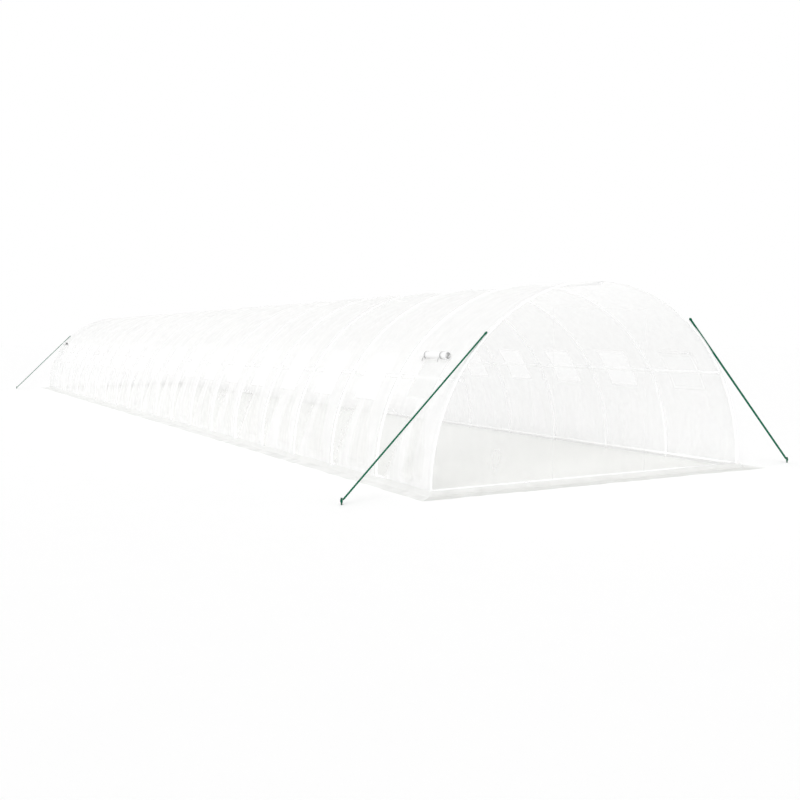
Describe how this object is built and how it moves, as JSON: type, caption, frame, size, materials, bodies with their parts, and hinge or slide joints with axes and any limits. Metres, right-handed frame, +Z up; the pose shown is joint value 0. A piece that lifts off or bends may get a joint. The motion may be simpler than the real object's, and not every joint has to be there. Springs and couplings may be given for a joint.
{
  "type": "polytunnel greenhouse",
  "caption": "Long half-round tunnel greenhouse: bent steel hoops and pipes under a translucent film cover with flap-covered side windows, end doors, ground skirts and taut guy ropes.",
  "frame": {"origin": "middle of the tunnel's length and width, on the ground", "axes": "+Z up, +Y along the tunnel away from the end seen in the picture, +X to the right"},
  "size_m": [5.74, 22.4316, 2.0487],
  "materials": {
    "steel_tube": "galvanised, satin",
    "cover_film": "translucent film, slightly wrinkled",
    "flap_film": "translucent film, loose",
    "screen_mesh": "fine white net",
    "zip_tape": "white woven tape",
    "strap": "black webbing",
    "rope": "dark green twisted cord",
    "peg": "dark green paint"
  },
  "bodies": {
    "root": {"back_door": "cover_film", "back_door_zip": "zip_tape", "back_end_film": "cover_film", "back_ground_pipe": "steel_tube", "back_skirt": "cover_film", "front_door": "cover_film", "front_door_zip": "zip_tape", "front_end_film": "cover_film", "front_ground_pipe": "steel_tube", "front_skirt": "cover_film", "ground_pegs": "peg", "guy_ropes": "rope", "hoop_01": "steel_tube", "hoop_02": "steel_tube", "hoop_03": "steel_tube", "hoop_04": "steel_tube", "hoop_05": "steel_tube", "hoop_06": "steel_tube", "hoop_07": "steel_tube", "hoop_08": "steel_tube", "hoop_09": "steel_tube", "hoop_10": "steel_tube", "hoop_11": "steel_tube", "hoop_12": "steel_tube", "hoop_13": "steel_tube", "hoop_14": "steel_tube", "hoop_15": "steel_tube", "hoop_16": "steel_tube", "hoop_17": "steel_tube", "hoop_18": "steel_tube", "hoop_19": "steel_tube", "hoop_20": "steel_tube", "hoop_21": "steel_tube", "left_ground_pipe": "steel_tube", "left_lower_film": "cover_film", "left_rolled_flaps": "flap_film", "left_roof_film": "cover_film", "left_side_pipe": "steel_tube", "left_skirt": "cover_film", "left_window_film": "cover_film", "left_window_flaps": "flap_film", "left_window_screens": "screen_mesh", "ridge_film": "cover_film", "ridge_pipe": "steel_tube", "right_ground_pipe": "steel_tube", "right_lower_film": "cover_film", "right_rolled_flaps": "flap_film", "right_roof_film": "cover_film", "right_side_pipe": "steel_tube", "right_skirt": "cover_film", "right_window_film": "cover_film", "right_window_flaps": "flap_film", "right_window_screens": "screen_mesh", "roll_straps": "strap"}
  },
  "joints": []
}
